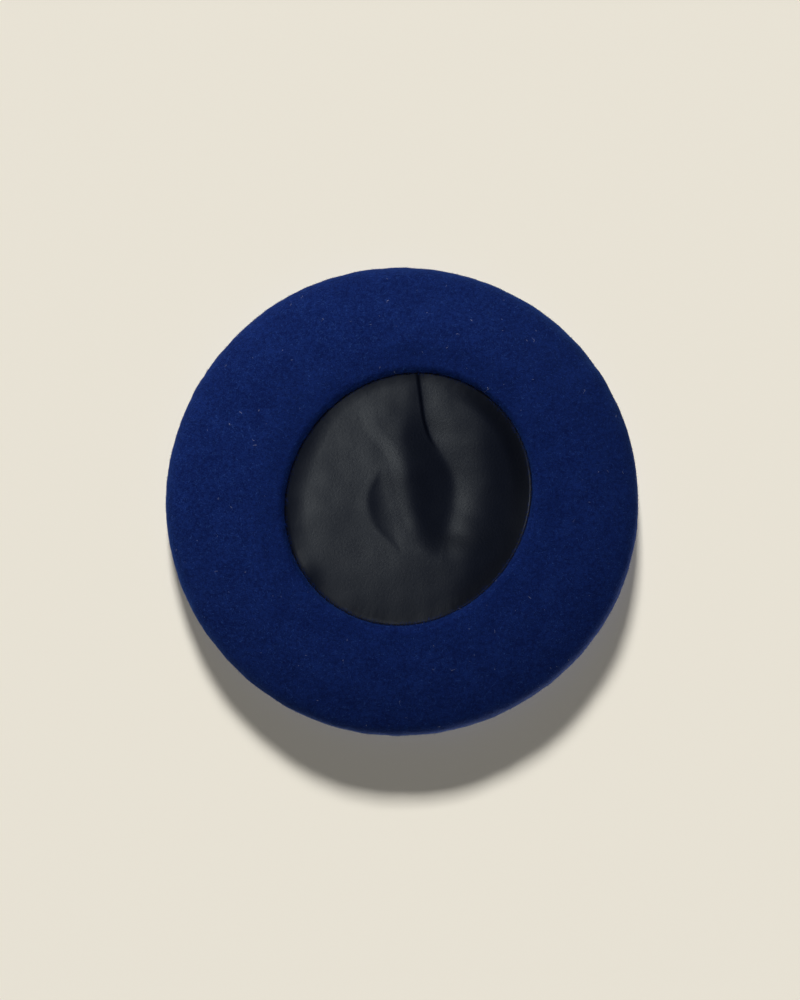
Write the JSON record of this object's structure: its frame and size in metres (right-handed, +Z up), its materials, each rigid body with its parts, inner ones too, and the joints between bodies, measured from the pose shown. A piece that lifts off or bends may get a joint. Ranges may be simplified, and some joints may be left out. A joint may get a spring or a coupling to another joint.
{
  "type": "beret",
  "caption": "Round wool felt beret with a short crown stalk, a rolled lip round the head opening and a slack satin lining.",
  "frame": {"origin": "centre of the head opening, in the plane of the flat ring that the beret rests on", "axes": "+Z up through the crown and its stalk, +Y the back, where the tape and the elastic are joined"},
  "size_m": [0.28, 0.28, 0.0738],
  "materials": {
    "navy_felt": "fulled wool felt, dull with a faint nap",
    "stalk_felt": "tightly rolled wool felt",
    "navy_thread": "twisted sewing thread",
    "black_tape": "ribbed grosgrain tape",
    "black_thread": "twisted sewing thread",
    "elastic": "braided elastic, dull",
    "elastic_thread": "twisted sewing thread",
    "charcoal_satin": "smooth satin with a soft gloss"
  },
  "bodies": {
    "hat": {"felt_shell": "navy_felt", "stalk_stitches": "navy_thread", "headband_tape": "black_tape", "tape_stitches": "black_thread", "tape_join_stitches": "black_thread", "hem_elastic": "elastic", "elastic_join_stitches": "elastic_thread", "lining_stitches": "black_thread"},
    "stalk": {"crown_stalk": "stalk_felt"},
    "lining": {"lining": "charcoal_satin", "dart_stitches": "black_thread"}
  },
  "joints": [
    {"name": "stalk_bend", "type": "hinge", "parent": "hat", "child": "stalk", "pos_m": [0, 0, 0.0548], "axis": [1, 0, 0], "range_deg": [-55, 55], "stiffness_Nm_per_rad": 0.0008},
    {"name": "lining_slack", "type": "slide", "parent": "hat", "child": "lining", "axis": [0, 0, -1], "range_m": [-0.008, 0.02]}
  ]
}
